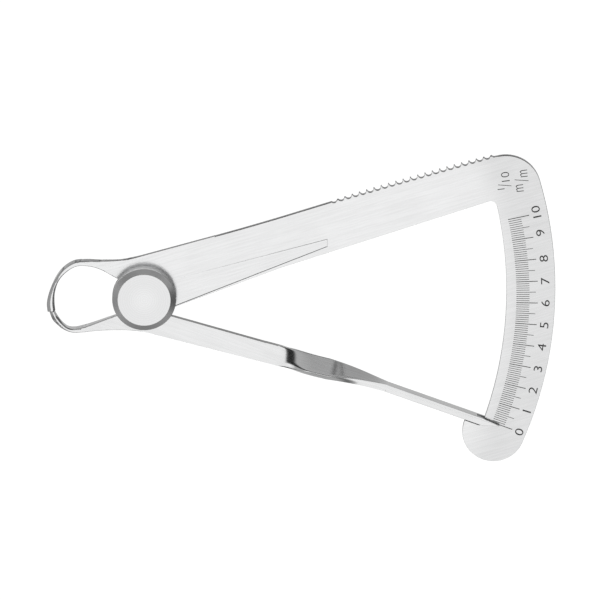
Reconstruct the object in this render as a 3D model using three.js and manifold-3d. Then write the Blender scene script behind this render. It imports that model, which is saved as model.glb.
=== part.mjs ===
// Spring caliper for thin work: a scale arm and a pointer arm lapped on one pivot, under a spring drum.
// Millimetres, +Z out of the scale's face, pivot axis on Z, origin on the flat back of the pivot's head.
// +X runs from the pivot to the scale, +Y from the pointer arm to the scale arm. The closed jaws are at -X.
import * as THREE from 'three'
import { mergeVertices } from 'three/addons/utils/BufferGeometryUtils.js'
import Module from 'manifold-3d'

const wasm = await Module()
wasm.setup()

// Sheet and strip
const plateThickness = 1.0        // scale arm
const armThickness = 1.4          // pointer arm
const runningGap = 0.05           // between faces that slide on each other

// Scale arm, seen from the front
const topEdgeAngle = 16.47        // direction of the grip edge
const topEdgeOffset = 7.74        // from the pivot to the line through both ends of that edge
const waistAt = 24.4              // lowest place of the top edge, along it
const waistDrop = 0.32            // of the top edge there
const waistLength = 8.0           // over which the top edge turns at its waist
const rootEdgeAngle = 20.9        // lower edge by the pivot
const rootEdgeOffset = 4.05
const lowerEdgeAngle = 18.35      // lower edge by the scale
const lowerEdgeOffset = 2.85
const scaleRadius = 78.3          // of its outer edge
const scaleOuterRise = 1.35       // centre of that edge above the pivot
const scaleWidth = 9.3            // to the inner edge, an arc of the same radius
const scaleInnerRise = 0.9        // centre of the inner edge above the pivot
const topCornerRadius = 6.7
const innerCornerRadius = 1.2
const notchRadius = 0.7
const lobeRadius = 5.95
const lobeAngle = -22.95

// Grip serrations
const gripStart = 40.02           // first cut's middle, along the grip edge from beside the pivot
const gripPitch = 1.446
const gripCutRadius = 0.63
const gripDepth = 0.28            // of the cuts below the edge at both ends of the row
const gripCrown = 0.38            // of the teeth above that edge in the middle of the row

// Flat wedge left proud on the scale arm's face behind the grip
const wedgeStart = 4.0            // under the drum, which it is cut clear of
const wedgeDrumGap = 0.06
const wedgeEnd = 34.9
const wedgeTilt = 2.9             // degrees, up towards its lower edge
const wedgeLift = 0.14            // of its upper edge at the outer end, from nothing at the start
const wedgeEdgeBreak = 0.24       // chamfer along its lower edge
const wedgeCreaseAngle = 15.2
const wedgeCreaseOffset = 1.77
const wedgeEdgeAngle = 22.07
const wedgeEdgeOffset = 4.0
const wedgeSink = 0.3
const chamferRoom = 0.8           // largest share of the wedge's height that its chamfer takes

// Jaws
const jawReach = 17.6             // from the pivot to where the tips meet
const jawTipAngle = 190.5
const jawClosedGap = 0.06
const jawThinRadius = 7.4         // inside this each jaw is as thin as its own arm
const jawFullRadius = 16.0        // outside this it has the thickness of both arms
const jawTipThinning = 0.5        // off the front and the back at the tip
const jawTipStart = 0.45          // share of the jaw's length where it begins to thin
const jawEdgeBevel = 0.12
const tipOuterBevel = 0.75
const tipInnerBevel = 0.4
const tipBevelDepth = 0.5
const bevelRoom = 0.8             // largest share of the width that both bevels take
const jawSteps = 5                // between two stations

// Pointer arm
const pointerAngle = -20.1        // of its outer stretch
const pointerDrop = 1.09          // from the pivot down to the middle line of that stretch
const zeroAngle = -20.65          // of the scale's first line
const pointerHubRadius = 5.5
const stripRootY = -5.1           // middle of the strip below the pivot
const stripRootWidth = 4.4
const twistStart = 25.7           // along X
const twistStartY = -12.25        // middle of the strip there
const twistStartWidth = 3.85
const firstTwistEnd = 29.4
const firstTwist = 43             // degrees
const riseEnd = 33.6              // where the strip has come up level with the scale plate
const secondTwistStart = 35.2
const twistEnd = 46.2
const narrowStart = 35.0
const narrowEnd = 45.0
const bendX = 39.8                // where the strip turns towards the scale
const bendLength = 3.5            // each side of a turn in the strip's middle line
const slotClearance = 0.15
const prongThickness = 0.62
const slotLead = 1.2              // slot's bottom inside the scale's inner edge
const pointerReach = 3.4          // point beyond the scale's inner edge
const pointWidth = 0.16
const prongTaper = 3.1
const lobeClearance = 0.3         // between pointer and lobe at zero
const twistSteps = 30

// Pivot
const headRadius = 3.4
const headThickness = 0.7
const headChamfer = 0.25
const seatRadius = 2.1            // flatted part of the arbor, which turns the pointer arm
const seatFlat = 1.6              // from the axis to each flat
const fitClearance = 0.05
const journalRadius = 1.5
const arborTipRadius = 1.15
const collarRadius = 2.5
const collarThickness = 0.55

// Spring drum
const drumRadius = 6.09
const drumHeight = 2.75
const drumChamferWidth = 1.06
const drumChamferHeight = 0.5
const drumWall = 1.25
const drumTop = 0.55
const drumPinRadius = 0.35
const drumPinDepth = 1.1          // into the drum's wall
const drumPinAngles = [55, 175, 295]
const hubInset = 0.2              // scale arm's hub inside the drum

// Spring
const springStrip = 0.2
const springWidth = 1.0
const springFloor = 0.2           // above the collar
const springTurns = 4
const springInnerGap = 0.35       // from the arbor to the first turn
const anchorRadius = 0.3
const anchorWallGap = 0.15
const hookGap = 0.12
const hookSweep = 270             // degrees round the anchor pin
const tangInset = 0.35            // spring's end inside the arbor's far side
const springSteps = 24            // a turn
const arborSlotWidth = 0.44

// Making
const cutMargin = 1.0             // a cut runs past the face by this much
const chordError = 0.01           // between an arc and its facets

// Levels from the back to the front
const armBack = headThickness
const armFront = armBack + armThickness
const plateBack = armFront + runningGap
const plateFront = plateBack + plateThickness
const drumFront = plateFront + drumHeight

const rad = THREE.MathUtils.degToRad
const heading = angle => new THREE.Vector2(Math.cos(rad(angle)), Math.sin(rad(angle)))
const polar = (radius, angle) => heading(angle).multiplyScalar(radius)

function solid(geometry) {
  const bare = geometry.index ? geometry.toNonIndexed() : geometry.clone()
  bare.deleteAttribute('normal')
  bare.deleteAttribute('uv')
  const merged = mergeVertices(bare, 1e-5)
  return new wasm.Manifold(new wasm.Mesh({
    numProp: 3,
    vertProperties: new Float32Array(merged.attributes.position.array),
    triVerts: new Uint32Array(merged.index.array),
  }))
}

function geometryOf(body) {
  const mesh = body.getMesh()
  const geometry = new THREE.BufferGeometry()
  geometry.setAttribute('position', new THREE.BufferAttribute(new Float32Array(mesh.vertProperties), 3))
  geometry.setIndex(new THREE.BufferAttribute(new Uint32Array(mesh.triVerts), 1))
  return geometry
}

// A flat outline, given as Vector2 points, between two levels
function slab(outline, low, high) {
  const shape = new THREE.Shape(outline)
  const geometry = new THREE.ExtrudeGeometry(shape, { depth: high - low, bevelEnabled: false })
  geometry.translate(0, 0, low)
  return geometry
}

// How many facets an arc of this sweep, in radians, needs
const facets = (radius, sweep) => Math.max(2, Math.ceil(sweep / 2 / Math.acos(1 - chordError / radius)))

function disc(radius, low, high) {
  const geometry = new THREE.CylinderGeometry(radius, radius, high - low, facets(radius, 2 * Math.PI))
  geometry.rotateX(Math.PI / 2)
  geometry.translate(0, 0, (low + high) / 2)
  return geometry
}

// A skin over convex sections of equal length, closed at both ends
function loft(sections) {
  const count = sections[0].length
  const points = sections.flat()
  const index = []
  for (let i = 0; i + 1 < sections.length; i++) {
    for (let j = 0; j < count; j++) {
      const a = i * count + j
      const b = i * count + (j + 1) % count
      index.push(a, b, b + count, a, b + count, a + count)
    }
  }
  const last = (sections.length - 1) * count
  for (let j = 1; j + 1 < count; j++) {
    index.push(0, j + 1, j)
    index.push(last, last + j, last + j + 1)
  }
  let volume = 0
  for (let k = 0; k < index.length; k += 3) {
    const [a, b, c] = [points[index[k]], points[index[k + 1]], points[index[k + 2]]]
    volume += a.dot(new THREE.Vector3().crossVectors(b, c))
  }
  if (volume < 0) index.reverse()
  const geometry = new THREE.BufferGeometry()
  geometry.setAttribute('position', new THREE.Float32BufferAttribute(points.flatMap(p => p.toArray()), 3))
  geometry.setIndex(index)
  return geometry
}

// A straight edge at an angle, with its distance above or below the pivot along its normal
function edge(angle, offset) {
  const along = heading(angle)
  const normal = new THREE.Vector2(-along.y, along.x)
  const at = s => along.clone().multiplyScalar(s).addScaledVector(normal, offset)
  const yAt = x => at((x - offset * normal.x) / along.x).y
  return { along, normal, offset, at, yAt }
}

function crossing(a, b) {
  const base = b.normal.clone().multiplyScalar(b.offset)
  const s = (a.offset - base.dot(a.normal)) / b.along.dot(a.normal)
  return b.at(s)
}

// Centre of a small circle that touches a straight edge and lies inside a large circle, touching that too.
// side is +1 where the small circle lies above the edge and -1 where it lies below.
function nestedCentre(line, side, radius, bigCentre, bigRadius) {
  const level = line.offset + side * radius
  const base = line.normal.clone().multiplyScalar(level).sub(bigCentre)
  const half = base.dot(line.along)
  const s = -half + Math.sqrt(half * half - base.lengthSq() + (bigRadius - radius) ** 2)
  return base.addScaledVector(line.along, s).add(bigCentre)
}

const bearing = (from, to) => Math.atan2(to.y - from.y, to.x - from.x)

// Points on an arc from one bearing to another, turning left (+1) or right (-1)
function arc(centre, radius, start, end, turn) {
  let sweep = (end - start) * turn
  sweep -= Math.floor(sweep / (2 * Math.PI)) * 2 * Math.PI
  const steps = facets(radius, sweep)
  const points = []
  for (let i = 0; i <= steps; i++) {
    const a = start + turn * sweep * i / steps
    points.push(new THREE.Vector2(centre.x + radius * Math.cos(a), centre.y + radius * Math.sin(a)))
  }
  return points
}

const topEdge = edge(topEdgeAngle, topEdgeOffset)
const cornerEdge = edge(topEdgeAngle, topEdgeOffset - gripDepth)
const rootEdge = edge(rootEdgeAngle, -rootEdgeOffset)
const lowerEdge = edge(lowerEdgeAngle, -lowerEdgeOffset)
const pointerLine = edge(pointerAngle, -pointerDrop)
const lobeEdge = edge(pointerAngle, -(pointerDrop + armThickness / 2 + lobeClearance))
const pivot = new THREE.Vector2(0, 0)
const innerCentre = new THREE.Vector2(-scaleWidth, scaleInnerRise)
const outerCentre = new THREE.Vector2(0, scaleOuterRise)
const scaleReach = scaleRadius - scaleWidth
const hubRadius = drumRadius - hubInset

const topCorner = nestedCentre(cornerEdge, -1, topCornerRadius, outerCentre, scaleRadius)

// The serrated row, up to the corner: round cuts to one depth, with their teeth on a crowned line
function gripCuts() {
  const gripCount = Math.floor((topCorner.dot(topEdge.along) - gripStart) / gripPitch) + 1
  const half = gripPitch * gripCount / 2
  const middle = gripStart + half - gripPitch / 2
  const crownAt = s => gripCrown * (1 - ((s - middle) / half) ** 4)
  const rise = gripCutRadius - gripDepth
  const points = []
  for (let i = gripCount - 1; i >= 0; i--) {
    const s = gripStart + i * gripPitch
    const centre = topEdge.at(s).addScaledVector(topEdge.normal, rise)
    const lean = side => Math.asin((crownAt(s + side * gripPitch / 2) - rise) / gripCutRadius)
    const start = rad(topEdgeAngle) + (i === gripCount - 1 ? -Math.PI / 2 : lean(1))
    points.push(...arc(centre, gripCutRadius, start, rad(topEdgeAngle) + Math.PI - lean(-1), -1))
  }
  return points
}

// The plain stretch of the top edge, from the serrations to the pivot, with its shallow waist
function waist() {
  const low = topEdge.at(waistAt).addScaledVector(topEdge.normal, -waistDrop)
  const serrations = topEdge.at(gripStart - gripCutRadius)
  const root = topEdge.at(0)
  const away = end => low.clone().lerp(end, waistLength / low.distanceTo(end))
  const turn = new THREE.QuadraticBezierCurve(away(serrations), low, away(root))
  return [serrations, ...turn.getPoints(facets(waistAt, waistLength / waistAt)), root]
}

function scaleOutline() {
  const inner = nestedCentre(lowerEdge, -1, innerCornerRadius, innerCentre, scaleRadius)
  const notch = nestedCentre(lobeEdge, 1, notchRadius, innerCentre, scaleRadius)
  const lobe = polar(scaleRadius - lobeRadius, lobeAngle).add(outerCentre)
  const lobeDrop = lobe.dot(lobeEdge.normal) - lobeEdge.offset
  const lobeCorner = lobeEdge.at(lobe.dot(lobeEdge.along) - Math.sqrt(lobeRadius ** 2 - lobeDrop ** 2))
  const innerBearings = [inner, notch].map(fillet => bearing(innerCentre, fillet))
  const outerBearings = [lobe, topCorner].map(fillet => bearing(outerCentre, fillet))
  return [
    new THREE.Vector2(hubRadius / 2, rootEdge.yAt(hubRadius / 2)),
    crossing(rootEdge, lowerEdge),
    ...arc(inner, innerCornerRadius, rad(lowerEdgeAngle + 90), innerBearings[0], -1),
    ...arc(innerCentre, scaleRadius, ...innerBearings, -1).slice(1),
    ...arc(notch, notchRadius, innerBearings[1], rad(pointerAngle - 90), -1).slice(1),
    ...arc(lobe, lobeRadius, bearing(lobe, lobeCorner), outerBearings[0], 1),
    ...arc(outerCentre, scaleRadius, ...outerBearings, 1).slice(1),
    ...arc(topCorner, topCornerRadius, outerBearings[1], rad(topEdgeAngle + 90), 1).slice(1),
    ...gripCuts(),
    ...waist(),
    new THREE.Vector2(-hubRadius / 2, hubRadius / 4),
  ]
}

// The wedge's flat top leaves the plate along its crease and stands proud along its chamfered lower edge
function wedge() {
  const crease = edge(wedgeCreaseAngle, wedgeCreaseOffset)
  const low = edge(wedgeEdgeAngle, -wedgeEdgeOffset)
  const sections = [wedgeStart, wedgeEnd].map(x => {
    const high = crease.yAt(x)
    const width = high - low.yAt(x)
    const lift = wedgeLift * (x - wedgeStart) / (wedgeEnd - wedgeStart)
    const topAt = across => plateFront + lift + across * Math.tan(rad(wedgeTilt))
    const chamfer = Math.min(wedgeEdgeBreak, (topAt(width) - plateFront) * chamferRoom)
    const at = (across, z) => new THREE.Vector3(x, high - across, z)
    return [
      at(0, plateFront - wedgeSink), at(width, plateFront - wedgeSink),
      at(width, topAt(width) - chamfer), at(width - chamfer, topAt(width - chamfer)), at(0, topAt(0)),
    ]
  })
  const clear = disc(drumRadius + wedgeDrumGap, plateFront, drumFront)
  return solid(loft(sections)).subtract(solid(clear))
}

// A jaw's stations in the plane of the arms, hub to tip, for a reach of one: [inner edge, outer edge]
const upperJaw = [
  [[-0.170, 0.119], [0.028, 0.464]],
  [[-0.267, 0.184], [-0.125, 0.428]],
  [[-0.352, 0.231], [-0.261, 0.405]],
  [[-0.477, 0.301], [-0.455, 0.396]],
  [[-0.602, 0.335], [-0.616, 0.394]],
  [[-0.733, 0.333], [-0.757, 0.375]],
  [[-0.847, 0.262], [-0.884, 0.290]],
  [[-0.926, 0.162], [-0.969, 0.170]],
  [[-0.966, 0.034], [-1.028, 0.028]],
  [[-0.972, -0.080], [-1.055, -0.091]],
]
const lowerJaw = [
  [[-0.148, -0.148], [0.023, -0.421]],
  [[-0.273, -0.223], [-0.170, -0.402]],
  [[-0.386, -0.264], [-0.352, -0.401]],
  [[-0.517, -0.311], [-0.511, -0.404]],
  [[-0.653, -0.355], [-0.657, -0.412]],
  [[-0.750, -0.375], [-0.770, -0.416]],
  [[-0.824, -0.363], [-0.861, -0.390]],
  [[-0.881, -0.315], [-0.933, -0.341]],
  [[-0.932, -0.247], [-0.993, -0.280]],
]
const upperTip = [-0.963, -1.048]
const lowerTip = [-0.968, -1.028]

// side is +1 for the jaw above the line where the tips meet and -1 for the one below it
function jaw(stations, tip, side) {
  const meet = edge(jawTipAngle - 180, side * jawClosedGap / 2)
  const ends = tip.map(share => new THREE.Vector2(share * jawReach, meet.yAt(share * jawReach)))
  const rows = stations.map(pair => pair.map(([x, y]) => new THREE.Vector2(x * jawReach, y * jawReach)))
  rows.push(ends)
  const curves = [0, 1].map(k => new THREE.CatmullRomCurve3(
    rows.map(row => new THREE.Vector3(row[k].x, row[k].y, 0)), false, 'catmullrom', 0.5))
  const steps = (rows.length - 1) * jawSteps
  const sections = []
  for (let i = 0; i <= steps; i++) {
    const share = i / steps
    const inner = curves[0].getPoint(share)
    const outer = curves[1].getPoint(share)
    const width = inner.distanceTo(outer)
    const across = outer.clone().sub(inner).divideScalar(width)
    const thick = THREE.MathUtils.smoothstep(inner.length(), jawThinRadius, jawFullRadius)
    const point = THREE.MathUtils.smoothstep(share, jawTipStart, 1)
    const thinning = jawTipThinning * point
    const back = (side > 0 ? THREE.MathUtils.lerp(plateBack, armBack, thick) : armBack) + thinning
    const front = (side < 0 ? THREE.MathUtils.lerp(armFront, plateFront, thick) : plateFront) - thinning
    const towards = size => THREE.MathUtils.lerp(jawEdgeBevel, size, point)
    const wanted = [tipInnerBevel, tipOuterBevel].map(towards)
    const room = Math.min(1, width * bevelRoom / (wanted[0] + wanted[1]))
    const [inBevel, outBevel] = wanted.map(size => size * room)
    const depth = towards(tipBevelDepth)
    const drop = Math.min(depth, (front - back) * bevelRoom / 2)
    const at = (distance, z) => inner.clone().addScaledVector(across, distance).setZ(z)
    sections.push([
      at(0, back + drop), at(inBevel, back), at(width - outBevel, back), at(width, back + drop),
      at(width, front - drop), at(width - outBevel, front), at(inBevel, front), at(0, front - drop),
    ])
  }
  return loft(sections)
}

function scaleArm() {
  const anchorHole = disc(anchorRadius, plateBack - cutMargin, plateFront + cutMargin)
  const anchor = anchorPlace()
  anchorHole.translate(anchor.x, anchor.y, 0)
  let body = solid(slab(scaleOutline(), plateBack, plateFront))
    .add(solid(disc(hubRadius, plateBack, plateFront)))
    .add(wedge())
    .add(solid(jaw(upperJaw, upperTip, 1)))
    .subtract(solid(disc(journalRadius + fitClearance, plateBack - cutMargin, plateFront + cutMargin)))
    .subtract(solid(anchorHole))
  for (const angle of drumPinAngles) body = body.subtract(solid(drumPinHole(angle)))
  return geometryOf(body)
}

// The pointer arm's strip: flat by the hub, then turned a quarter in two stages to face the grip
const forkHeight = plateThickness + 2 * (slotClearance + prongThickness)
const plateMiddle = (plateBack + plateFront) / 2
const armMiddle = (armBack + armFront) / 2

// Middle line of the strip: three straight stretches with a rounded turn between each two
const stripBends = [
  new THREE.Vector2(0, stripRootY),
  new THREE.Vector2(twistStart, twistStartY),
  new THREE.Vector2(bendX, pointerLine.yAt(bendX)),
  pointerLine.at(scaleReach),
]
const stripSlopes = [0, 1, 2].map(i =>
  (stripBends[i + 1].y - stripBends[i].y) / (stripBends[i + 1].x - stripBends[i].x))

function stripLine(x) {
  let y = stripRootY + stripSlopes[0] * x
  let slope = stripSlopes[0]
  for (const i of [1, 2]) {
    const change = stripSlopes[i] - stripSlopes[i - 1]
    const past = x - stripBends[i].x
    const turned = THREE.MathUtils.clamp((past + bendLength) / (2 * bendLength), 0, 1)
    y += change * (past > bendLength ? past : turned ** 2 * bendLength)
    slope += change * turned
  }
  return { y, angle: Math.atan(slope) }
}

const shareOf = (x, start, end) => THREE.MathUtils.clamp((x - start) / (end - start), 0, 1)

// The strip's four corners at one place, its thickness along its own face's direction
function stripSection(x, width, thickness, shift = 0) {
  const first = THREE.MathUtils.smoothstep(x, twistStart, firstTwistEnd)
  const turn = rad(firstTwist * first + (90 - firstTwist) * shareOf(x, secondTwistStart, twistEnd))
  const rise = THREE.MathUtils.smoothstep(x, twistStart, riseEnd)
  const middle = THREE.MathUtils.lerp(armMiddle, plateMiddle, rise)
  const { y, angle } = stripLine(x)
  const across = new THREE.Vector3(-Math.sin(angle), Math.cos(angle), 0)
  const up = new THREE.Vector3(0, 0, 1)
  const face = up.clone().multiplyScalar(Math.cos(turn)).addScaledVector(across, Math.sin(turn))
  const span = across.clone().multiplyScalar(Math.cos(turn)).addScaledVector(up, -Math.sin(turn))
  const centre = new THREE.Vector3(x, y, middle).addScaledVector(across, shift)
  span.multiplyScalar(width / 2)
  face.multiplyScalar(thickness / 2)
  return [[-1, -1], [1, -1], [1, 1], [-1, 1]].map(([u, v]) =>
    centre.clone().addScaledVector(span, u).addScaledVector(face, v))
}

function strip() {
  const sections = [stripSection(0, stripRootWidth, armThickness)]
  for (let i = 0; i <= twistSteps; i++) {
    const x = THREE.MathUtils.lerp(twistStart, twistEnd, i / twistSteps)
    const width = THREE.MathUtils.lerp(twistStartWidth, forkHeight, shareOf(x, narrowStart, narrowEnd))
    sections.push(stripSection(x, width, armThickness))
  }
  const point = polar(scaleReach + pointerReach, zeroAngle)
  const reach = point.dot(pointerLine.along)
  const besideLine = point.dot(pointerLine.normal) - pointerLine.offset
  sections.push(stripSection(pointerLine.at(reach - prongTaper).x, forkHeight, armThickness))
  sections.push(stripSection(pointerLine.at(reach).x, forkHeight, pointWidth, besideLine))
  return loft(sections)
}

function forkSlot() {
  const start = scaleReach - slotLead
  const end = scaleReach + pointerReach + cutMargin
  const high = plateThickness + 2 * slotClearance
  const geometry = new THREE.BoxGeometry(end - start, armThickness + 2 * cutMargin, high)
  geometry.translate((start + end) / 2, -pointerDrop, plateMiddle)
  geometry.rotateZ(rad(pointerAngle))
  return geometry
}

// The arbor's section where it turns the pointer arm: round with two flats
function seatOutline(clearance) {
  const radius = seatRadius + clearance
  const lean = Math.asin((seatFlat + clearance) / radius)
  return [
    ...arc(pivot, radius, -lean, lean, 1),
    ...arc(pivot, radius, Math.PI - lean, Math.PI + lean, 1),
  ]
}

function pointerArm() {
  const body = solid(disc(pointerHubRadius, armBack, armFront))
    .add(solid(strip()))
    .add(solid(jaw(lowerJaw, lowerTip, -1)))
    .subtract(solid(forkSlot()))
    .subtract(solid(slab(seatOutline(fitClearance), armBack - cutMargin, armFront + cutMargin)))
  return geometryOf(body)
}

// Arbor: rivet head at the back, flatted seat, journal through the scale arm, slotted tip for the spring
const collarBack = plateFront + runningGap
const springBack = collarBack + collarThickness + springFloor
const springFront = springBack + springWidth

function lathe(profile) {
  const sides = facets(Math.max(...profile.map(point => point[0])), 2 * Math.PI)
  const geometry = new THREE.LatheGeometry(profile.map(([r, z]) => new THREE.Vector2(r, z)), sides)
  geometry.rotateX(Math.PI / 2)
  return geometry
}

function pivotArbor() {
  const head = lathe([
    [0, 0], [headRadius - headChamfer, 0], [headRadius, headChamfer],
    [headRadius, headThickness], [0, headThickness],
  ])
  const seat = slab(seatOutline(0), headThickness - headChamfer, armFront)
  const journal = disc(journalRadius, headChamfer, collarBack)
  const tip = disc(arborTipRadius, headChamfer, springFront)
  const slotDepth = springWidth + 2 * springFloor
  const slot = new THREE.BoxGeometry(2 * (arborTipRadius + cutMargin), arborSlotWidth, slotDepth)
  slot.translate(0, 0, springBack + springWidth / 2)
  const body = solid(head).add(solid(seat)).add(solid(journal)).add(solid(tip)).subtract(solid(slot))
  return geometryOf(body)
}

function arborCollar() {
  const bore = arborTipRadius + fitClearance
  return lathe([
    [bore, collarBack], [collarRadius, collarBack], [collarRadius, collarBack + collarThickness],
    [bore, collarBack + collarThickness], [bore, collarBack],
  ])
}

const cavityRadius = drumRadius - drumWall
const anchorOrbit = cavityRadius - anchorWallGap - springStrip - hookGap - anchorRadius
const springOuterRadius = anchorOrbit - anchorRadius - hookGap - springStrip / 2
const springInnerRadius = arborTipRadius + springInnerGap + springStrip / 2

function anchorPlace() {
  return polar(anchorOrbit, 0)
}

// The spring's middle line: a tang across the arbor's slot, a spiral, and a hook round the anchor pin
function springLine() {
  const points = [new THREE.Vector2(tangInset - arborTipRadius, 0), new THREE.Vector2(arborTipRadius, 0)]
  const count = springTurns * springSteps
  for (let i = 1; i <= count; i++) {
    const t = i / count
    const radius = THREE.MathUtils.lerp(springInnerRadius, springOuterRadius, t)
    points.push(polar(radius, 360 * springTurns * t))
  }
  const anchor = anchorPlace()
  const hookRadius = anchorRadius + hookGap + springStrip / 2
  points.push(...arc(anchor, hookRadius, Math.PI, Math.PI - rad(hookSweep), -1).slice(1))
  return points
}

function driveSpring() {
  const line = springLine()
  const sides = [1, -1].map(side => line.map((point, i) => {
    const before = line[Math.max(0, i - 1)]
    const after = line[Math.min(line.length - 1, i + 1)]
    const aside = after.clone().sub(before).rotateAround(pivot, Math.PI / 2).setLength(springStrip / 2)
    return point.clone().addScaledVector(aside, side)
  }))
  return slab([...sides[1], ...sides[0].reverse()], springBack, springFront)
}

function springAnchorPin() {
  const pin = disc(anchorRadius - fitClearance, plateBack, springFront)
  const place = anchorPlace()
  pin.translate(place.x, place.y, 0)
  return pin
}

function drumPinAt(angle, radius, low, high) {
  const pin = disc(radius, low, high)
  const place = polar(drumRadius - drumWall / 2 - hubInset, angle)
  pin.translate(place.x, place.y, 0)
  return pin
}

const drumPin = angle => drumPinAt(angle, drumPinRadius, plateBack, plateFront + drumPinDepth)

function drumPinHole(angle) {
  const bottom = plateFront + drumPinDepth + 2 * fitClearance
  return drumPinAt(angle, drumPinRadius + fitClearance, plateBack - cutMargin, bottom)
}

function springDrum() {
  const shoulder = drumFront - drumChamferHeight
  const cup = lathe([
    [0, drumFront - drumTop], [cavityRadius, drumFront - drumTop], [cavityRadius, plateFront],
    [drumRadius, plateFront], [drumRadius, shoulder],
    [drumRadius - drumChamferWidth, drumFront], [0, drumFront],
  ])
  let body = solid(cup)
  for (const angle of drumPinAngles) body = body.subtract(solid(drumPinHole(angle)))
  return geometryOf(body)
}

const satinSteel = new THREE.MeshStandardMaterial({ color: 0xd9dadb, roughness: 0.32, metalness: 1 })
const turnedSteel = new THREE.MeshStandardMaterial({ color: 0xc9cacc, roughness: 0.22, metalness: 1 })
const springSteel = new THREE.MeshStandardMaterial({ color: 0x8d9095, roughness: 0.4, metalness: 1 })

const caliper = new THREE.Group()

function piece(name, geometry, material) {
  const bare = geometry.index ? geometry : mergeVertices(geometry, 1e-5)
  const mesh = new THREE.Mesh(bare, material)
  mesh.name = name
  caliper.add(mesh)
}

piece('scale_arm', scaleArm(), satinSteel)
piece('pointer_arm', pointerArm(), satinSteel)
piece('pivot_arbor', pivotArbor(), turnedSteel)
piece('arbor_collar', arborCollar(), turnedSteel)
piece('drive_spring', driveSpring(), springSteel)
piece('spring_anchor_pin', springAnchorPin(), turnedSteel)
piece('spring_drum', springDrum(), turnedSteel)
drumPinAngles.forEach((angle, i) => piece(`drum_pin_${i + 1}`, drumPin(angle), turnedSteel))

export default caliper
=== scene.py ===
# Spring caliper for thin work, lying on a white table under soft studio light
import math
import bmesh
import bpy
from mathutils import Matrix, Vector


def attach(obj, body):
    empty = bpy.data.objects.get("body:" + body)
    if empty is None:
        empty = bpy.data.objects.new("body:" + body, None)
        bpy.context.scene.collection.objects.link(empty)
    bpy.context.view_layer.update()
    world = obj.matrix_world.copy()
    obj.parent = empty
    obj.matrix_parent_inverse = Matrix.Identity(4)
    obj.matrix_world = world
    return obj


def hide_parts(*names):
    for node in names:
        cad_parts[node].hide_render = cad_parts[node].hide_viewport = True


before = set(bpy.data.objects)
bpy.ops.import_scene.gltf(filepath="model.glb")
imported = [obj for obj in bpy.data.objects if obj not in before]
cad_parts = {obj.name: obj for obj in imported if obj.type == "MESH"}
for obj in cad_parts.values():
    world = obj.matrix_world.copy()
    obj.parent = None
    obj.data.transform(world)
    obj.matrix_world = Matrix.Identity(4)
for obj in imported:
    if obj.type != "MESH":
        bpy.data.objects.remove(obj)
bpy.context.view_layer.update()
mm = 0.001
weld = 0.0005 * mm                # corners closer than this are one
plateFront = 3.15 * mm            # level of the scale arm's face
noiseRange = (0.3, 0.7)           # nearly all values of a noise lie in it
steelTint = (0.997, 1.0, 1.004)   # steel is a touch cool
bumpDistance = 0.01 * mm          # depth of the grain and the turned rings


# Small helpers for node trees
def feed(tree, socket, value):
    if isinstance(value, bpy.types.NodeSocket):
        tree.links.new(value, socket)
    else:
        socket.default_value = value


def calc(tree, operation, *values):
    node = tree.nodes.new("ShaderNodeMath")
    node.operation = operation
    for socket, value in zip(node.inputs, values):
        feed(tree, socket, value)
    return node.outputs[0]


def ramp(tree, value, low, high, start=0.0, end=1.0, kind="SMOOTHSTEP"):
    node = tree.nodes.new("ShaderNodeMapRange")
    node.interpolation_type = kind
    for socket, given in zip(node.inputs, (value, low, high, start, end)):
        feed(tree, socket, given)
    return node.outputs[0]


def mix(tree, share, first, second):
    node = tree.nodes.new("ShaderNodeMix")
    for socket, value in zip(node.inputs, (share, None, first, second)):
        if value is not None:
            feed(tree, socket, value)
    return node.outputs[0]


def blendColors(tree, share, first, second):
    node = tree.nodes.new("ShaderNodeMix")
    node.data_type = "RGBA"
    feed(tree, node.inputs[0], share)
    feed(tree, node.inputs[6], first)
    feed(tree, node.inputs[7], second)
    return node.outputs[2]


def splitVector(tree, vector):
    node = tree.nodes.new("ShaderNodeSeparateXYZ")
    tree.links.new(vector, node.inputs[0])
    return node.outputs


def joinVector(tree, x=0.0, y=0.0, z=0.0):
    node = tree.nodes.new("ShaderNodeCombineXYZ")
    for socket, value in zip(node.inputs, (x, y, z)):
        feed(tree, socket, value)
    return node.outputs[0]


def noise(tree, vector, scale, detail=2.0):
    node = tree.nodes.new("ShaderNodeTexNoise")
    node.inputs["Scale"].default_value = scale
    node.inputs["Detail"].default_value = detail
    tree.links.new(vector, node.inputs["Vector"])
    return node.outputs["Fac"]


# Lets a noise vary a value about its middle
def vary(tree, pattern, middle, spread):
    return ramp(tree, pattern, *noiseRange, middle - spread, middle + spread)


# Turns a pattern by an angle in degrees and draws it out
def turned(tree, vector, angle, stretch):
    node = tree.nodes.new("ShaderNodeMapping")
    node.vector_type = "TEXTURE"
    node.inputs["Rotation"].default_value = (0, 0, math.radians(angle))
    node.inputs["Scale"].default_value = stretch
    tree.links.new(vector, node.inputs["Vector"])
    return node.outputs["Vector"]


def newMaterial(name):
    material = bpy.data.materials.new(name)
    material.use_nodes = True
    tree = material.node_tree
    return material, tree, tree.nodes["Principled BSDF"], tree.nodes.new("ShaderNodeTexCoord")


def gray(level):
    return (level, level, level, 1)


# Speckles a gray colour
def speckled(tree, pattern, middle, spread):
    return blendColors(tree, pattern, gray(middle - spread), gray(middle + spread))


# Makes a shader steel of the given tone
def paintSteel(tree, shader, tone):
    color = tree.nodes.new("ShaderNodeCombineColor")
    for channel, tint in zip(color.inputs, steelTint):
        tree.links.new(calc(tree, "MULTIPLY", tone, tint), channel)
    tree.links.new(color.outputs[0], shader.inputs["Base Color"])
    shader.inputs["Metallic"].default_value = 1


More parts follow.
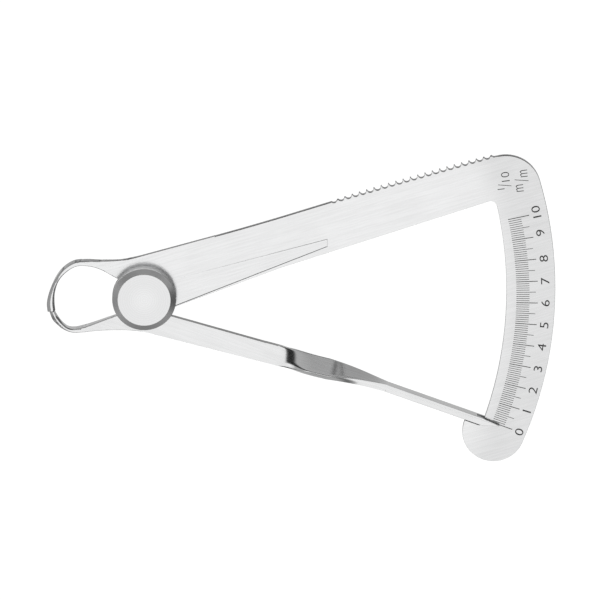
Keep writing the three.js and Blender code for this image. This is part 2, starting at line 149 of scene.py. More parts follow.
def addBump(tree, shader, height, strength):
    bump = tree.nodes.new("ShaderNodeBump")
    bump.inputs["Strength"].default_value = strength
    bump.inputs["Distance"].default_value = bumpDistance
    tree.links.new(height, bump.inputs["Height"])
    tree.links.new(bump.outputs[0], shader.inputs["Normal"])


print("helpers ready")

# The camera looks at the scale's face from 16 degrees to its upper side
camera = {
    "pictureWidth": 114.3 * mm,
    "tilt": math.radians(16.1),
    "distance": 3.0,
    "target": Vector((29.676, -0.733, 3.15)) * mm,
    "sensor": 36.0,
    "clip": (0.1, 20),
}


def addCamera(look):
    data = bpy.data.cameras.new("camera")
    data.sensor_width = look["sensor"]
    data.lens = look["sensor"] * look["distance"] / look["pictureWidth"]
    data.clip_start, data.clip_end = look["clip"]
    placed = bpy.data.objects.new("camera", data)
    back = Vector((0, math.sin(look["tilt"]), math.cos(look["tilt"])))
    placed.location = look["target"] + back * look["distance"]
    placed.rotation_euler = (-look["tilt"], 0, 0)
    bpy.context.collection.objects.link(placed)
    bpy.context.scene.camera = placed


addCamera(camera)
bpy.context.scene.view_settings.view_transform = "Standard"
print("camera placed")

# Light: a wide soft box to the south, in a gray tent with a dark slot by the camera, a dark patch in the east
# and dark skirting in the north. A pair of degrees says how far a direction leans to the north where something
# begins, and where it is full.
studio = {
    "tent": 0.46,
    "horizon": 0.95,              # where the tent meets the table
    "horizonTop": (0.05, 0.14),   # by the height of a direction
    "northTent": 0.57,            # the tent just past the slot
    "northFade": (41, 74),        # degrees
    "slot": 0.02,
    "slotSouth": (6, 11),         # degrees
    "slotNorth": (30, 41),        # degrees
    "slotWest": (0.62, 0.85),     # its ends, by the share of a direction that points west or east
    "slotEast": (0.40, 0.60),
    "skirting": 0.0,
    "skirtingTop": (74.5, 77),    # degrees
    "skirtingFoot": (79, 82),     # degrees
    "east": 0.05,
    "eastToward": (0.90, -0.24, 0.36),
    "eastEdge": (0.80, 0.93),     # by the cosine of the angle to that direction
}
keyBox = {
    "name": "key_box",
    "toward": (0, -0.481, 0.877),
    "away": 2.4,
    "size": (4.2, 3.33),
    "level": 0.66,
}


def addSoftBox(box):
    data = bpy.data.lights.new(box["name"], "AREA")
    data.shape = "RECTANGLE"
    data.size, data.size_y = box["size"]
    data.energy = box["level"] * math.pi * data.size * data.size_y
    placed = bpy.data.objects.new(box["name"], data)
    toward = Vector(box["toward"]).normalized()
    placed.location = camera["target"] + toward * box["away"]
    placed.rotation_euler = toward.to_track_quat("Z", "Y").to_euler()
    placed.visible_camera = False
    bpy.context.collection.objects.link(placed)


def addWorld(look):
    world = bpy.data.worlds.new("studio")
    bpy.context.scene.world = world
    world.use_nodes = True
    tree = world.node_tree
    direction = tree.nodes.new("ShaderNodeTexCoord").outputs["Generated"]
    x, y, z = splitVector(tree, direction)
    lean = calc(tree, "DEGREES", calc(tree, "ARCTAN2", y, z))
    tent = ramp(tree, lean, *look["northFade"], look["northTent"], look["tent"], "LINEAR")
    tent = mix(tree, ramp(tree, lean, *look["slotNorth"]), look["tent"], tent)
    level = ramp(tree, z, *look["horizonTop"], look["horizon"], tent)
    slot = calc(tree, "MULTIPLY", ramp(tree, lean, *look["slotSouth"]),
                ramp(tree, lean, *look["slotNorth"], 1, 0))
    ends = calc(tree, "MULTIPLY", ramp(tree, x, *look["slotEast"], 1, 0),
                ramp(tree, calc(tree, "MULTIPLY", x, -1), *look["slotWest"], 1, 0))
    level = mix(tree, calc(tree, "MULTIPLY", slot, ends), level, look["slot"])
    foot = calc(tree, "MULTIPLY", ramp(tree, lean, *look["skirtingTop"]),
                ramp(tree, lean, *look["skirtingFoot"], 1, 0))
    level = mix(tree, calc(tree, "MULTIPLY", foot, ends), level, look["skirting"])
    facing = tree.nodes.new("ShaderNodeVectorMath")
    facing.operation = "DOT_PRODUCT"
    tree.links.new(direction, facing.inputs[0])
    facing.inputs[1].default_value = Vector(look["eastToward"]).normalized()
    level = mix(tree, ramp(tree, facing.outputs["Value"], *look["eastEdge"]), level, look["east"])
    tree.links.new(level, tree.nodes["Background"].inputs["Strength"])
    tree.nodes["Background"].inputs["Color"].default_value = gray(1)


# The table glows for the camera and for what mirrors it, and keeps the caliper's shadow
table = {"size": 30.0, "level": -0.2 * mm, "glow": 0.95, "lit": 0.20}


def addTable(look):
    half = look["size"] / 2
    mesh = bpy.data.meshes.new("table")
    corners = [(-half, -half), (half, -half), (half, half), (-half, half)]
    mesh.from_pydata([(x, y, look["level"]) for x, y in corners], [], [(0, 1, 2, 3)])
    placed = bpy.data.objects.new("table", mesh)
    bpy.context.collection.objects.link(placed)
    material, tree, shader, _ = newMaterial("white_table")
    tree.nodes.remove(shader)
    lit = tree.nodes.new("ShaderNodeBsdfDiffuse")
    lit.inputs["Color"].default_value = gray(look["lit"])
    glow = tree.nodes.new("ShaderNodeEmission")
    path = tree.nodes.new("ShaderNodeLightPath")
    shown = calc(tree, "MAXIMUM", path.outputs["Is Camera Ray"], path.outputs["Is Glossy Ray"])
    shown = calc(tree, "MAXIMUM", shown, path.outputs["Is Transmission Ray"])
    tree.links.new(calc(tree, "MULTIPLY", shown, look["glow"]), glow.inputs["Strength"])
    both = tree.nodes.new("ShaderNodeAddShader")
    tree.links.new(lit.outputs[0], both.inputs[0])
    tree.links.new(glow.outputs[0], both.inputs[1])
    tree.links.new(both.outputs[0], tree.nodes["Material Output"].inputs["Surface"])
    mesh.materials.append(material)


addSoftBox(keyBox)
addWorld(studio)
addTable(table)
print("studio lit")

# Satin steel with painted shade and painted reflection. Faces that stand square to the pivot axis keep the
# steel's bright tone, and the walls are painted dark: partly a duller blanked edge, partly painted shade and
# reflection.
# A surface is a wall below one flatness and a face above another, and a gain is how much a lean to the north
# adds to its flatness, so the painted shade also goes with the side that a surface faces.
satinSteel = {
    "face": 0.755, "wall": 0.04, "wallBelow": 0.60, "faceAbove": 0.93,
    "northGain": -0.12, "raisedGain": 0.25, "raisedBy": 0.05 * mm,   # below the plate's face and above it
    # Painted shade on the walls nearer the hub and on the jaws' walls, each with its own tone
    "nearWall": 0.04, "nearEnd": 26.8 * mm, "farStart": 28.6 * mm,   # walls nearer the hub
    "jawWall": 0.12, "jawGain": 0.1, "jawFull": -4 * mm, "jawEnd": -1 * mm,
    "roughness": 0.22, "roughSpread": 0.015,
    "cloud": 160, "cloudDetail": 3, "cloudDepth": 0.014,
    "grain": 3600, "grainAngle": 17.0, "grainStretch": (25, 1, 1), "grainDepth": 0.02, "grainBump": 0.015,
    # Painted shade: the tone falls off over the scale, as the light does
    "scaleShadeDrop": 0.12, "scaleFrom": 66 * mm, "scaleFull": 73 * mm,   # the scale is a little darker
}
# The pointer's strip: the satin steel with its own painted shade and reflection. Its walls, and turned faces
# once they lean well away from up, get a lower tone, and less so where they lean north
brightStrip = dict(
    satinSteel, face=0.72, wall=0.29, wallBelow=0.76, faceAbove=0.84, northGain=0.2, raisedGain=0.2,
    jawWall=0.30, jawGain=0.2, roughness=0.17, roughSpread=0.02, grainAngle=-20.0, scaleShadeDrop=0.0,
)


def addSatin(name, look):
    material, tree, shader, place = newMaterial(name)
    spot = place.outputs["Object"]
    x, _, z = splitVector(tree, spot)
    normal = splitVector(tree, place.outputs["Normal"])
    cloud = noise(tree, spot, look["cloud"], look["cloudDetail"])
    grain = noise(tree, turned(tree, spot, look["grainAngle"], look["grainStretch"]), look["grain"])

    # Painted shade and reflection: walls, and surfaces that lean north below the plate's face, get a lower tone
    # than the faces
    gain = ramp(tree, z, plateFront, plateFront + look["raisedBy"], look["northGain"], look["raisedGain"])
    jaw = ramp(tree, x, look["jawFull"], look["jawEnd"], 1, 0)
    gain = mix(tree, jaw, gain, look["jawGain"])
    flatness = calc(tree, "ABSOLUTE", normal["Z"])
    flatness = calc(tree, "MULTIPLY_ADD", normal["Y"], gain, flatness)
    wall = ramp(tree, x, look["nearEnd"], look["farStart"], look["nearWall"], look["wall"])
    wall = mix(tree, jaw, wall, look["jawWall"])
    toneWithPaintedShade = ramp(tree, flatness, look["wallBelow"], look["faceAbove"], wall, look["face"])

    # Painted shade where the light falls off, towards the scale's end
    radius = tree.nodes.new("ShaderNodeVectorMath")
    radius.operation = "LENGTH"
    tree.links.new(spot, radius.inputs[0])
    darker = ramp(tree, radius.outputs["Value"], look["scaleFrom"], look["scaleFull"], 0, look["scaleShadeDrop"])
    tone = calc(tree, "MULTIPLY", toneWithPaintedShade, calc(tree, "SUBTRACT", 1, darker))
    tone = calc(tree, "ADD", tone, vary(tree, cloud, 0, look["cloudDepth"]))
    tone = calc(tree, "ADD", tone, vary(tree, grain, 0, look["grainDepth"]))
    paintSteel(tree, shader, tone)
    tree.links.new(vary(tree, cloud, look["roughness"], look["roughSpread"]), shader.inputs["Roughness"])
    addBump(tree, shader, grain, look["grainBump"])
    return material


# Turned steel: fine rings on the faces, and walls and bevels with painted shade and painted reflection, whose
# tone goes with the side that they face
turnedSteel = {
    "face": 0.755, "rimShare": 0.95, "rimFrom": 0.5 * mm, "rimFull": 3.6 * mm,
    "groovePitch": 0.42 * mm, "ringDepth": 0.012, "grooveBump": 0.04,
    # Painted shade: wall tones by the side that a wall faces, and for steep walls
    "wall": 0.46, "wallNorth": 0.76, "wallSouth": 0.48, "wallTurn": 0.1, "wallBelow": 0.93, "faceAbove": 0.99,
    "eastShare": 0.30, "westShare": 0.75, "sideFrom": 0.37, "sideFull": 0.47,
    "steepTone": 0.75, "steepBelow": 0.25, "steepEnd": 0.6,          # walls that are steeper than a bevel
    "roughness": 0.22, "wallRoughness": 0.38, "steepRoughness": 1.0,
}


def addTurned(name, look):
    material, tree, shader, place = newMaterial(name)
    x, y, _ = splitVector(tree, place.outputs["Object"])
    normal = splitVector(tree, place.outputs["Normal"])
    radius = calc(tree, "SQRT", calc(tree, "ADD", calc(tree, "POWER", x, 2.0), calc(tree, "POWER", y, 2.0)))
    wave = calc(tree, "SINE", calc(tree, "MULTIPLY", radius, 2 * math.pi / look["groovePitch"]))
    flatness = calc(tree, "ABSOLUTE", normal["Z"])

    # Painted shade and reflection on walls and bevels: lighter where they face north, lower where they face
    # south, east or west, and on steep walls
    slope = ramp(tree, normal["Y"], -look["wallTurn"], look["wallTurn"], look["wallSouth"], look["wallNorth"])
    wall = calc(tree, "MULTIPLY_ADD", normal["Y"], slope, look["wall"])
    bevelled = ramp(tree, flatness, look["steepBelow"], look["steepEnd"])
    for share, direction in ((look["eastShare"], 1), (look["westShare"], -1)):
        side = calc(tree, "MULTIPLY", normal["X"], direction)
        darker = ramp(tree, side, look["sideFrom"], look["sideFull"], 1, share)
        wall = calc(tree, "MULTIPLY", wall, mix(tree, bevelled, 1.0, darker))
    wall = calc(tree, "MULTIPLY", wall,
                ramp(tree, flatness, look["steepBelow"], look["steepEnd"], look["steepTone"], 1))
    rim = look["face"] * look["rimShare"]
    face = ramp(tree, radius, look["rimFrom"], look["rimFull"], look["face"], rim)
    face = calc(tree, "MULTIPLY_ADD", wave, look["ringDepth"], face)
    paintSteel(tree, shader, ramp(tree, flatness, look["wallBelow"], look["faceAbove"], wall, face))

    rough = ramp(tree, flatness, look["wallBelow"], look["faceAbove"],
                 look["wallRoughness"], look["roughness"])
    rough = calc(tree, "MAXIMUM", rough,
                 ramp(tree, flatness, look["steepBelow"], look["steepEnd"], look["steepRoughness"], 0))
    tree.links.new(rough, shader.inputs["Roughness"])
    addBump(tree, shader, wave, look["grooveBump"])
    return material


springSteel = {
    "color": 0.42, "spread": 0.042,
    "roughness": 0.32, "roughSpread": 0.05,
    "streak": 2600, "streakStretch": (1, 1, 20),
}


def addSpringSteel(name, look):
    material, tree, shader, place = newMaterial(name)
    streak = noise(tree, turned(tree, place.outputs["Object"], 0, look["streakStretch"]), look["streak"])
    tree.links.new(speckled(tree, streak, look["color"], look["spread"]), shader.inputs["Base Color"])
    shader.inputs["Metallic"].default_value = 1
    tree.links.new(vary(tree, streak, look["roughness"], look["roughSpread"]), shader.inputs["Roughness"])
    return material


etch = {"color": 0.06, "spread": 0.03, "roughness": 0.6, "metallic": 0.5, "speckle": 9000}


def addEtch(name, look):
    material, tree, shader, place = newMaterial(name)
    speckle = noise(tree, place.outputs["Object"], look["speckle"])
    tree.links.new(speckled(tree, speckle, look["color"], look["spread"]), shader.inputs["Base Color"])
    shader.inputs["Roughness"].default_value = look["roughness"]
    shader.inputs["Metallic"].default_value = look["metallic"]
    return material


satin = addSatin("satin_steel_face_painted_shade", satinSteel)
strip = addSatin("satin_steel_strip_painted_shade", brightStrip)
turning = addTurned("turned_steel_rings_painted_shade", turnedSteel)
springFinish = addSpringSteel("spring_steel_strip", springSteel)
etching = addEtch("etched_lines", etch)
print("finishes made")


def groupInputs(tree, sizes):
    for name, value in sizes.items():
        kind = "NodeSocketInt" if isinstance(value, int) else "NodeSocketFloat"
        tree.interface.new_socket(name, in_out="INPUT", socket_type=kind)
    return tree.nodes.new("NodeGroupInput").outputs


def finishTree(tree, shape, material):
    real = tree.nodes.new("GeometryNodeRealizeInstances")
    tree.links.new(shape, real.inputs[0])
    painted = tree.nodes.new("GeometryNodeSetMaterial")
    painted.inputs["Material"].default_value = material
    tree.links.new(real.outputs[0], painted.inputs["Geometry"])
    result = tree.nodes.new("NodeGroupOutput")
    tree.links.new(painted.outputs[0], result.inputs[0])


# Runs a node tree once and keeps the result as a plain mesh
def meshFromTree(name, tree, sizes):
    piece = bpy.data.objects.new(name, bpy.data.meshes.new(name))
    bpy.context.collection.objects.link(piece)
    modifier = piece.modifiers.new(name, "NODES")
    modifier.node_group = tree
    for item in tree.interface.items_tree:
        if item.in_out == "INPUT" and item.name in sizes:
            modifier[item.identifier] = sizes[item.name]
    evaluated = piece.evaluated_get(bpy.context.evaluated_depsgraph_get())
    mesh = bpy.data.meshes.new_from_object(evaluated)
    piece.modifiers.remove(modifier)
    piece.data = mesh
    mesh.name = name
    return piece


# Distance of an edge's further end from the pivot's axis
def reach(line):
    return max(corner.co.xy.length for corner in line.verts)


# Mean width of the narrower face beside an edge
def narrowest(line):
    return min(face.calc_area() / max(side.calc_length() for side in face.edges)
               for face in line.link_faces)


# A CAD part's shape with its doubles merged, its flat faces whole and its edges broken
def finishedCopy(node, material, body, edge, reshape):
    name = node + "_finished"
    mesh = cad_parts[node].data.copy()
    mesh.name = name
    work = bmesh.new()
    work.from_mesh(mesh)
    bmesh.ops.remove_doubles(work, verts=work.verts, dist=weld)
    bmesh.ops.dissolve_limit(work, angle_limit=math.radians(edge["flat"]),
                             verts=work.verts, edges=work.edges)
    if reshape:
        reshape(work)
    weight = work.edges.layers.float.new("bevel_weight_edge")
    sharp = math.radians(edge["sharp"])
    crease = math.radians(edge["crease"])
    broken = math.radians(edge["broken"])
    for line in work.edges:
        angle = line.calc_face_angle(0)
        level = all(abs(face.normal.z) > edge["level"] for face in line.link_faces)
        start = min(corner.co.x for corner in line.verts)
        folded = level and angle > crease and start > edge["creaseFrom"]
        line.smooth = angle < sharp and not folded
        if angle > broken and reach(line) > edge["hubReach"] and narrowest(line) > edge["room"]:
            fillet = min(line.calc_length() * edge["lengthShare"], narrowest(line) * edge["roomShare"])
            line[weight] = min(1.0, fillet / edge["width"])
    for face in work.faces:
        face.smooth = abs(face.normal.z) < edge["flatAbove"] or face.calc_area() < edge["smallFace"]
    work.to_mesh(mesh)
    work.free()
    piece = bpy.data.objects.new(name, mesh)
    bpy.context.collection.objects.link(piece)
    mesh.materials.clear()
    mesh.materials.append(material)
    bevel = piece.modifiers.new("brokenEdges", "BEVEL")
    bevel.width = edge["width"]
    bevel.segments = edge["segments"]
    bevel.limit_method = "WEIGHT"
    bevel.use_clamp_overlap = False
    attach(piece, body)
    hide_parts(node)


# How edges are broken. Angles are in degrees: faces that bend less than flat are merged, edges over sharp are
# shaded as edges, and those over broken get a fillet. It is narrower on short edges, such as those of the teeth,
# and on low walls. A crease is a slight fold between two level faces.
rimGap = 0.1 * mm                 # between the solid part's rim and the finer one
seam = 4 * weld                   # corners of the two rims closer than this are joined
armEdge = {
    "flat": 0.3, "sharp": 28, "broken": 28,
    "crease": 1.0, "level": 0.9, "creaseFrom": 5 * mm,
    "width": 0.10 * mm, "lengthShare": 0.32, "segments": 3,
    "room": 0.15 * mm, "roomShare": 0.38,                # narrower faces than this get no fillet
    "hubReach": 7.6 * mm,                                # and neither do edges this near the pivot
    "flatAbove": 0.98, "smallFace": 0.2 * mm * mm,
}
stripEdge = dict(armEdge, creaseFrom=1.0)                # so far out that it has no creases
drumEdge = dict(stripEdge, sharp=18, broken=60, width=0.05 * mm, hubReach=0)

# The strip's quarter turn, on the solid part's middle line. Where something starts or ends is its place along X.
twist = {
    "fineStart": 22.6 * mm,
    "start": 25.7 * mm,
    "end": 46.2 * mm,
    "thickness": 1.4 * mm,
    "startWidth": 3.85 * mm,
    "endWidth": 2.54 * mm,
    "narrowStart": 35.0 * mm,
    "narrowEnd": 45.0 * mm,
    "turnStart": 24.5 * mm,       # it turns quickly at first, and then slowly up to the quarter
    "firstEnd": 32.3 * mm,
    "firstAngle": 43.0,           # degrees
    "secondStart": 35.2 * mm,
    "riseEnd": 33.6 * mm,
    "backLevel": 1.4 * mm,        # middle of the strip by the hub
    "frontLevel": 2.65 * mm,      # middle of the scale's plate
    "rootY": -5.1 * mm,           # where the middle line starts, beside the pivot
    "startY": -12.25 * mm,
    "bendX": 39.8 * mm,
    "bendLength": 3.5 * mm,       # half of a soft bend
    "outerAngle": -20.1,          # degrees
    "outerDrop": 1.09 * mm,       # how far the outer line passes below the pivot
    "skew": 0.40 * mm,            # the turn comes this much sooner along the upper edge than in the middle
    "hook": 0.12 * mm,            # and this much more right at the edge
    "hookPower": 3.0,             # the higher, the nearer to the edge
    "northRound": 0.35 * mm,      # width of the worn upper edge, where it is widest
    "northDrop": 0.12 * mm,
    "northFrom": 24.0 * mm,
    "northFull": 28.0 * mm,
    "southRound": 1.1 * mm,
    "southDrop": 0.6 * mm,
    "southFrom": 25.2 * mm,
    "southFull": 28.2 * mm,
    "roundFade": 28.6 * mm,       # where the worn edges begin to narrow
    "roundLeft": 0.3,             # of their width
    "roundThin": 32.2 * mm,
    "roundEnd": 42.0 * mm,
    "roundGone": 45.8 * mm,
    "roundLeast": 0.01 * mm,
    "steps": 200,                 # corners along, across and through the strip
    "columns": 21,
    "layers": 3,
}


# The middle line's three slopes: by the hub, across the turn and towards the scale
def stripSlopes():
    outer = math.tan(math.radians(twist["outerAngle"]))
    outerFoot = -twist["outerDrop"] / math.cos(math.radians(twist["outerAngle"]))
    bendY = outerFoot + outer * twist["bendX"]
    first = (twist["startY"] - twist["rootY"]) / twist["start"]
    return first, (bendY - twist["startY"]) / (twist["bendX"] - twist["start"]), outer


def twistTree():
    tree = bpy.data.node_groups.new("twist", "GeometryNodeTree")
    given = groupInputs(tree, twist)
    tree.interface.new_socket("Strip", in_out="OUTPUT", socket_type="NodeSocketGeometry")
    bar = tree.nodes.new("GeometryNodeMeshCube")
    tree.links.new(given["steps"], bar.inputs["Vertices X"])
    tree.links.new(given["columns"], bar.inputs["Vertices Y"])
    tree.links.new(given["layers"], bar.inputs["Vertices Z"])
    grid = splitVector(tree, tree.nodes.new("GeometryNodeInputPosition").outputs[0])
    x = ramp(tree, grid["X"], -0.5, 0.5, given["fineStart"], given["end"], "LINEAR")
    side = calc(tree, "SINE", calc(tree, "MULTIPLY", grid["Y"], math.pi))

    # How far the strip has turned, how high it lies and how wide it is
    shift = calc(tree, "MULTIPLY_ADD", calc(tree, "POWER", side, given["hookPower"]), given["hook"],
                 calc(tree, "MULTIPLY", side, given["skew"]))
    first = ramp(tree, calc(tree, "ADD", x, shift), given["turnStart"], given["firstEnd"],
                 0.0, given["firstAngle"])
    rest = calc(tree, "SUBTRACT", 90.0, given["firstAngle"])
    second = ramp(tree, x, given["secondStart"], given["end"], 0.0, rest, "LINEAR")
    turn = calc(tree, "RADIANS", calc(tree, "ADD", first, second))
    height = ramp(tree, x, given["start"], given["riseEnd"], given["backLevel"], given["frontLevel"])
    width = ramp(tree, x, given["narrowStart"], given["narrowEnd"],
                 given["startWidth"], given["endWidth"], "LINEAR")

    # Its middle line, with a soft bend where the slope changes
    slopes = stripSlopes()
    y = calc(tree, "MULTIPLY_ADD", x, slopes[0], given["rootY"])
    slope = slopes[0]
    length = given["bendLength"]
    for number, bend in enumerate((given["start"], given["bendX"])):
        change = slopes[number + 1] - slopes[number]
        past = calc(tree, "SUBTRACT", x, bend)
        share = ramp(tree, past, calc(tree, "MULTIPLY", length, -1), length, kind="LINEAR")
        curved = calc(tree, "MULTIPLY", length, calc(tree, "POWER", share, 2.0))
        beyond = calc(tree, "MAXIMUM", calc(tree, "SUBTRACT", past, length), 0.0)
        y = calc(tree, "MULTIPLY_ADD", calc(tree, "ADD", curved, beyond), change, y)
        slope = calc(tree, "MULTIPLY_ADD", share, change, slope)
    heading = calc(tree, "ARCTANGENT", slope)

    # The worn upper and lower edges of the strip's face, as quarter ellipses
    half = calc(tree, "MULTIPLY", width, 0.5)
    across = calc(tree, "MULTIPLY", side, half)
    fade = ramp(tree, x, given["roundFade"], given["roundThin"], 1.0, given["roundLeft"])
    fade = calc(tree, "MULTIPLY", fade, ramp(tree, x, given["roundEnd"], given["roundGone"], 1.0, 0.0))
    drop = 0.0
    for edgeName, sign in (("north", 1.0), ("south", -1.0)):
        worn = ramp(tree, x, given[edgeName + "From"], given[edgeName + "Full"])
        worn = calc(tree, "MULTIPLY", worn, fade)
        wide = calc(tree, "MULTIPLY", worn, given[edgeName + "Round"])
        wide = calc(tree, "MAXIMUM", wide, given["roundLeast"])
        inside = calc(tree, "MULTIPLY", across, sign)
        inside = calc(tree, "SUBTRACT", inside, calc(tree, "SUBTRACT", half, wide))
        out = ramp(tree, inside, 0.0, wide, kind="LINEAR")
        level = calc(tree, "SQRT", calc(tree, "SUBTRACT", 1.0, calc(tree, "POWER", out, 2.0)))
        sag = calc(tree, "SUBTRACT", 1.0, level)
        drop = calc(tree, "MULTIPLY_ADD", sag, calc(tree, "MULTIPLY", worn, given[edgeName + "Drop"]), drop)

    # Each point's place across the turned strip, and then beside the middle line
    onFace = calc(tree, "ADD", grid["Z"], 0.5)
    through = calc(tree, "MULTIPLY", grid["Z"], given["thickness"])
    through = calc(tree, "SUBTRACT", through, calc(tree, "MULTIPLY", drop, onFace))
    cosine, sine = calc(tree, "COSINE", turn), calc(tree, "SINE", turn)
    aside = calc(tree, "MULTIPLY_ADD", across, cosine, calc(tree, "MULTIPLY", through, sine))
    up = calc(tree, "SUBTRACT", calc(tree, "MULTIPLY", through, cosine), calc(tree, "MULTIPLY", across, sine))
    back = calc(tree, "MULTIPLY", aside, calc(tree, "SINE", heading))
    spot = joinVector(tree, calc(tree, "SUBTRACT", x, back),
                      calc(tree, "MULTIPLY_ADD", aside, calc(tree, "COSINE", heading), y),
                      calc(tree, "ADD", height, up))
    moved = tree.nodes.new("GeometryNodeSetPosition")
    tree.links.new(bar.outputs["Mesh"], moved.inputs["Geometry"])
    tree.links.new(spot, moved.inputs["Position"])
    finishTree(tree, moved.outputs[0], strip)
    return tree


# Gives one side of an open rim a corner at each place of the finer rim that lies along it
def splitRim(line, places):
    corner, last = line.verts
    start = corner.co.copy()
    along = last.co - start
    for end in line.verts:
        end.co = min(places, key=lambda place: (place - end.co).length)
    beside = []
    for place in places:
        share = (place - start).dot(along) / along.length_squared
        atCorner = any((place - end.co).length < seam for end in line.verts)
        if 0 < share < 1 and not atCorner and (place - start - along * share).length < rimGap:
            beside.append((share, place))
    done = 0
    for share, place in sorted(beside, key=lambda pair: pair[0]):
        made, corner = bmesh.utils.edge_split(line, corner, (share - done) / (1 - done))
        line = made if last in made.verts else line
        corner.co = place
        done = share


# Takes the turned stretch out of the pointer arm and sets a finer one in its place
def refineTwist(work):
    fine = meshFromTree("fine_twist", twistTree(), twist)
    inner, _, outer = (Vector((1, slope, 0)).normalized() for slope in stripSlopes())
    places = [corner.co for corner in fine.data.vertices]
    innerEnd = min(place.dot(inner) for place in places)
    outerEnd = max(place.dot(outer) for place in places)
    near = rimGap / 3             # what lies this close to an end's plane is in it
    atEnd = [abs(place.dot(inner) - innerEnd) < near or abs(place.dot(outer) - outerEnd) < near
             for place in places]
    sides = [face for face in fine.data.polygons if not all(atEnd[corner] for corner in face.vertices)]
    rimCorners = {corner for face in sides for corner in face.vertices if atEnd[corner]}
    rimPlaces = [places[corner] for corner in sorted(rimCorners)]
    for run, end in ((inner, innerEnd), (outer, outerEnd)):
        everything = work.verts[:] + work.edges[:] + work.faces[:]
        bmesh.ops.bisect_plane(work, geom=everything, dist=weld, plane_co=run * end, plane_no=run)
    turnedStretch = [
        corner for corner in work.verts
        if corner.co.x > 0 and corner.co.dot(inner) > innerEnd + near and corner.co.dot(outer) < outerEnd - near
    ]
    bmesh.ops.delete(work, geom=turnedStretch, context="VERTS")
    bmesh.ops.dissolve_limit(work, angle_limit=math.radians(stripEdge["flat"]), verts=work.verts,
                             edges=work.edges, use_dissolve_boundaries=True)
    rims = [line for line in work.edges if line.is_boundary]
    print("rims:", len(rims))
    for line in rims:
        splitRim(line, rimPlaces)
    old = set(work.faces)
    work.from_mesh(fine.data)
    ends = []
    for face in work.faces:
        if face in old:
            continue
        spots = [corner.co for corner in face.verts]
        atInner = all(abs(spot.dot(inner) - innerEnd) < near for spot in spots)
        atOuter = all(abs(spot.dot(outer) - outerEnd) < near for spot in spots)
        if atInner or atOuter:
            ends.append(face)
    bmesh.ops.delete(work, geom=ends, context="FACES")
    bmesh.ops.remove_doubles(work, verts=work.verts, dist=seam)
    bpy.data.objects.remove(fine)
    openEdges = sum(1 for line in work.edges if len(line.link_faces) != 2)
    print("twist set in:", len(turnedStretch), "old corners out, open edges:", openEdges)


for node, finish, body, slotName, edge, reshape in [
    ("scale_arm", satin, "scale_side", "satin_steel", armEdge, None),
    ("pointer_arm", strip, "pointer_side", "satin_steel", stripEdge, refineTwist),
    ("spring_drum", turning, "scale_side", "turned_steel", drumEdge, None),
    ("pivot_arbor", turning, "pointer_side", "turned_steel", drumEdge, None),
]:
    finishedCopy(node, finish, body, edge, reshape)
print("arms, drum and arbor finished")

# The small parts inside the drum keep their CAD shape
for node, finish in [
    ("arbor_collar", turning), ("spring_anchor_pin", turning), ("drive_spring", springFinish),
    ("drum_pin_1", turning), ("drum_pin_2", turning), ("drum_pin_3", turning),
]:
    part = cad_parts[node].data
    part.materials.clear()
    part.materials.append(finish)
print("small parts finished")

# The scale: lines for tenths, halves and whole millimetres of jaw opening, engraved on the plate's front
scale = {
    "jawReach": 17.6 * mm,
    "zeroAngle": -20.65,          # degrees
    "tenths": 100,
    "tenth": 0.1 * mm,
    "halfEvery": 5,
    "wholeEvery": 10,
    "lineStart": 70.9 * mm,
    "tenthEnd": 73.4 * mm,
    "halfEnd": 74.6 * mm,
    "wholeEnd": 75.0 * mm,
    "lineWidth": 0.11 * mm,
    "wholeWidth": 0.15 * mm,
    "depth": 0.05 * mm,
    "proud": 0.004 * mm,          # so that the plate's face doesn't hide a line
}


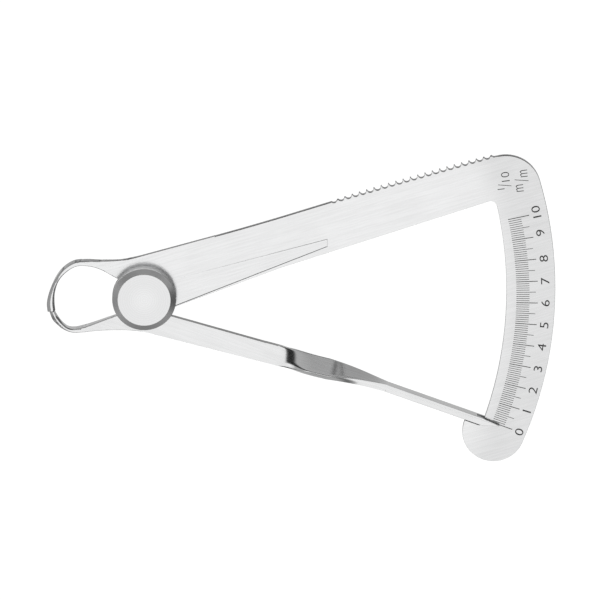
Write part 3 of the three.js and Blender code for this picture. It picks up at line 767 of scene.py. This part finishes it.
def scaleLineTree(material):
    tree = bpy.data.node_groups.new("scaleLines", "GeometryNodeTree")
    given = groupInputs(tree, scale)
    tree.interface.new_socket("Lines", in_out="OUTPUT", socket_type="NodeSocketGeometry")
    index = tree.nodes.new("GeometryNodeInputIndex").outputs[0]
    points = tree.nodes.new("GeometryNodeMeshLine")
    tree.links.new(calc(tree, "ADD", given["tenths"], 1), points.inputs["Count"])

    # The jaw tips open by a chord, so the angle goes with its arcsine
    opening = calc(tree, "MULTIPLY", index, given["tenth"])
    chord = calc(tree, "DIVIDE", opening, calc(tree, "MULTIPLY", given["jawReach"], 2))
    halfTurn = calc(tree, "ARCSINE", chord)
    start = calc(tree, "RADIANS", given["zeroAngle"])
    angle = calc(tree, "MULTIPLY_ADD", halfTurn, 2, start)

    whole = calc(tree, "LESS_THAN", calc(tree, "MODULO", index, given["wholeEvery"]), 0.5)
    half = calc(tree, "LESS_THAN", calc(tree, "MODULO", index, given["halfEvery"]), 0.5)
    end = calc(tree, "MAXIMUM", given["tenthEnd"], calc(tree, "MULTIPLY", half, given["halfEnd"]))
    end = calc(tree, "MAXIMUM", end, calc(tree, "MULTIPLY", whole, given["wholeEnd"]))
    length = calc(tree, "SUBTRACT", end, given["lineStart"])
    middle = calc(tree, "MULTIPLY", calc(tree, "ADD", end, given["lineStart"]), 0.5)

    level = calc(tree, "SUBTRACT", plateFront, calc(tree, "MULTIPLY", given["depth"], 0.5))
    level = calc(tree, "ADD", level, given["proud"])
    spot = joinVector(tree, calc(tree, "MULTIPLY", middle, calc(tree, "COSINE", angle)),
                      calc(tree, "MULTIPLY", middle, calc(tree, "SINE", angle)), level)
    placed = tree.nodes.new("GeometryNodeSetPosition")
    tree.links.new(points.outputs[0], placed.inputs["Geometry"])
    tree.links.new(spot, placed.inputs["Position"])

    width = mix(tree, whole, given["lineWidth"], given["wholeWidth"])
    bar = tree.nodes.new("GeometryNodeMeshCube")
    copies = tree.nodes.new("GeometryNodeInstanceOnPoints")
    tree.links.new(placed.outputs[0], copies.inputs["Points"])
    tree.links.new(bar.outputs["Mesh"], copies.inputs["Instance"])
    tree.links.new(joinVector(tree, z=angle), copies.inputs["Rotation"])
    tree.links.new(joinVector(tree, length, width, given["depth"]), copies.inputs["Scale"])
    finishTree(tree, copies.outputs[0], material)
    return tree


def markAngle(millimetres):
    return math.radians(scale["zeroAngle"]) + 2 * math.asin(millimetres * mm / (2 * scale["jawReach"]))


scaleLines = meshFromTree("scale_lines", scaleLineTree(etching), scale)
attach(scaleLines, "scale_side")
print("scale lines:", len(scaleLines.data.polygons), "faces")

figures = {
    "radius": 76.45 * mm,
    "height": 1.62 * mm,          # of a figure
    "capShare": 0.73,             # of the letter size that a figure stands tall
    "thin": -0.002,               # swells or thins the strokes
    "unitThin": -0.012,
    "wide": 1.3,
    "nudges": {9: 0.5, 10: 0.3},  # degrees past the mark
    "unitAngle": 7,               # degrees
    "resolution": 4,              # steps of each curve in a letter
    "unitMarks": [                # letters, height, widening and place of the unit's two fractions
        ("1", 1.35 * mm, 1.0, 67.9 * mm, 21.2 * mm),
        ("/", 2.5 * mm, 0.7, 68.6 * mm, 21.95 * mm),
        ("10", 1.55 * mm, 1.1, 68.7 * mm, 23.65 * mm),
        ("m", 1.4 * mm, 0.67, 71.45 * mm, 21.4 * mm),
        ("/", 2.6 * mm, 0.7, 71.8 * mm, 22.95 * mm),
        ("m", 1.4 * mm, 0.67, 72.2 * mm, 24.3 * mm),
    ],
}


# Flat lettering centred on a spot, its foot away from the pivot, its baseline square to the angle
def lettering(text, height, wide, thin, x, y, angle):
    curve = bpy.data.curves.new("letters", "FONT")
    curve.body = text
    curve.align_x = "CENTER"
    curve.align_y = "CENTER"
    curve.size = 1.0
    curve.offset = thin
    curve.extrude = scale["depth"] / 2 * figures["capShare"] / height
    curve.resolution_u = figures["resolution"]
    written = bpy.data.objects.new("letters", curve)
    bpy.context.collection.objects.link(written)
    bpy.context.view_layer.update()
    evaluated = written.evaluated_get(bpy.context.evaluated_depsgraph_get())
    mesh = bpy.data.meshes.new_from_object(evaluated)
    bpy.data.objects.remove(written)
    xs = [corner.co.x for corner in mesh.vertices]
    ys = [corner.co.y for corner in mesh.vertices]
    centre = Matrix.Translation((-(min(xs) + max(xs)) / 2, -(min(ys) + max(ys)) / 2, 0))
    size = height / (max(ys) - min(ys))
    stretch = Matrix.Diagonal((size * wide, size, size, 1))
    level = plateFront - scale["depth"] / 2 + scale["proud"]
    turn = Matrix.Rotation(angle + math.pi / 2, 4, "Z")
    mesh.transform(Matrix.Translation((x, y, level)) @ turn @ stretch @ centre)
    return mesh


def addFigures():
    work = bmesh.new()
    for mark in range(scale["tenths"] // scale["wholeEvery"] + 1):
        angle = markAngle(mark) + math.radians(figures["nudges"].get(mark, 0))
        x = figures["radius"] * math.cos(angle)
        y = figures["radius"] * math.sin(angle)
        letters = lettering(str(mark), figures["height"], figures["wide"], figures["thin"], x, y, angle)
        work.from_mesh(letters)
    for text, height, wide, x, y in figures["unitMarks"]:
        angle = math.radians(figures["unitAngle"])
        work.from_mesh(lettering(text, height, wide, figures["unitThin"], x, y, angle))
    bmesh.ops.remove_doubles(work, verts=work.verts, dist=weld)
    bmesh.ops.recalc_face_normals(work, faces=work.faces)
    mesh = bpy.data.meshes.new("scale_figures")
    work.to_mesh(mesh)
    work.free()
    mesh.materials.append(etching)
    piece = bpy.data.objects.new("scale_figures", mesh)
    bpy.context.collection.objects.link(piece)
    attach(piece, "scale_side")
    print("figures:", len(mesh.polygons), "faces")


addFigures()
